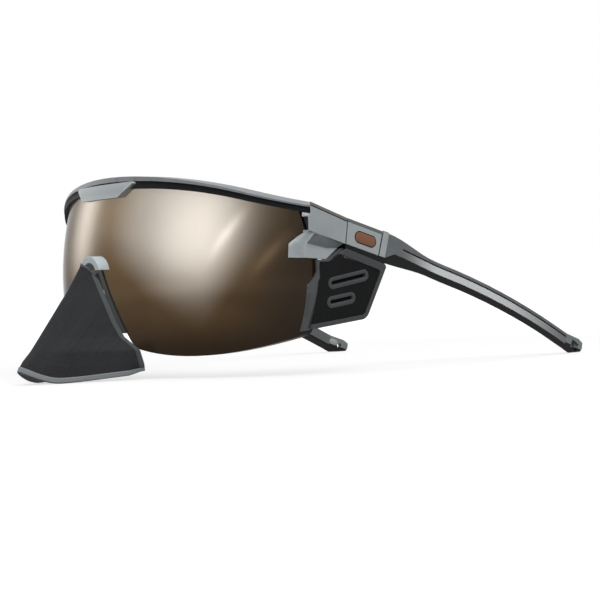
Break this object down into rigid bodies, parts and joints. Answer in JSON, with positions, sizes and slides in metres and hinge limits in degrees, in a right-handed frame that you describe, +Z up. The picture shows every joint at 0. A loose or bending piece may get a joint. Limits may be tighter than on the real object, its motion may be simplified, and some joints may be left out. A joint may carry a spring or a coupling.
{
  "type": "glacier glasses",
  "caption": "Wrap-around half-rim shield sunglasses with folding temples, a pull-off fabric nose guard and pull-off fabric side shields.",
  "frame": {"origin": "centre of the bounding box on the floor under the nose guard and temple tips", "axes": "+X is the wearer's left, +Y runs back along the temples towards the wearer, +Z is up"},
  "size_m": [0.152, 0.1946, 0.068],
  "materials": {
    "lens": "bronze mirror coating",
    "brow_black": "matte black",
    "brow_grey": "satin grey",
    "dark_shell": "satin dark grey",
    "light_shell": "satin light grey paint",
    "steel": "brushed",
    "arm_shell": "satin dark grey",
    "silver_stripe": "satin silver",
    "grip_rubber": "matte black",
    "tip_shell": "satin grey",
    "shield_bar": "satin grey",
    "shield_fabric": "plain weave, black",
    "shield_trim": "matte grey",
    "soft_rubber": "matte black",
    "saddle": "pale grey, polished",
    "guard_fabric": "plain weave, charcoal",
    "guard_trim": "grey tape"
  },
  "bodies": {
    "front": {"lens": "lens", "brow_rim": "brow_black", "brow_cap": "brow_grey", "brow_clip": "light_shell", "nose_frame": "soft_rubber", "nose_bridge": "saddle", "end_block_left": "dark_shell", "end_block_right": "dark_shell", "lug_left": "light_shell", "lug_right": "light_shell", "hinge_pin_left": "steel", "hinge_pin_right": "steel", "pad_pin_left": "steel", "pad_pin_right": "steel"},
    "nose_guard": {"guard_panel": "guard_fabric", "guard_binding": "guard_trim"},
    "temple_left": {"temple_arm_left": "arm_shell", "temple_stripe_left": "silver_stripe", "temple_plate_left": "light_shell", "temple_grip_left": "grip_rubber", "temple_tip_left": "tip_shell", "hinge_leaf_left": "steel"},
    "side_shield_left": {"shield_frame_left": "shield_bar", "shield_panel_left": "shield_fabric", "shield_binding_left": "shield_trim", "shield_vents_left": "shield_trim"},
    "nose_pad_left": {"nose_pad_left": "soft_rubber"},
    "temple_right": {"temple_arm_right": "arm_shell", "temple_stripe_right": "silver_stripe", "temple_plate_right": "light_shell", "temple_grip_right": "grip_rubber", "temple_tip_right": "tip_shell", "hinge_leaf_right": "steel"},
    "side_shield_right": {"shield_frame_right": "shield_bar", "shield_panel_right": "shield_fabric", "shield_binding_right": "shield_trim", "shield_vents_right": "shield_trim"},
    "nose_pad_right": {"nose_pad_right": "soft_rubber"}
  },
  "joints": [
    {"name": "temple_left_fold", "type": "hinge", "parent": "front", "child": "temple_left", "pos_m": [0.0682, -0.01488, 0.04463], "axis": [0, 0.2924, 0.9563], "range_deg": [0, 90]},
    {"name": "temple_right_fold", "type": "hinge", "parent": "front", "child": "temple_right", "pos_m": [-0.0682, -0.01488, 0.04463], "axis": [0, -0.2924, -0.9563], "range_deg": [0, 82]},
    {"name": "side_shield_left_pull", "type": "slide", "parent": "front", "child": "side_shield_left", "axis": [0.6003, 0.7453, -0.2901], "range_m": [0, 0.036]},
    {"name": "side_shield_right_pull", "type": "slide", "parent": "front", "child": "side_shield_right", "axis": [-0.6003, 0.7453, -0.2901], "range_m": [0, 0.036]},
    {"name": "nose_guard_pull", "type": "slide", "parent": "front", "child": "nose_guard", "axis": [0, -1, 0], "range_m": [0, 0.03]},
    {"name": "nose_pad_left_turn", "type": "hinge", "parent": "front", "child": "nose_pad_left", "pos_m": [0.00536, -0.05666, 0.02924], "axis": [0, 1, 0], "range_deg": [-8, 8]},
    {"name": "nose_pad_right_turn", "type": "hinge", "parent": "front", "child": "nose_pad_right", "pos_m": [-0.00536, -0.05666, 0.02924], "axis": [0, 1, 0], "range_deg": [-8, 8]}
  ]
}
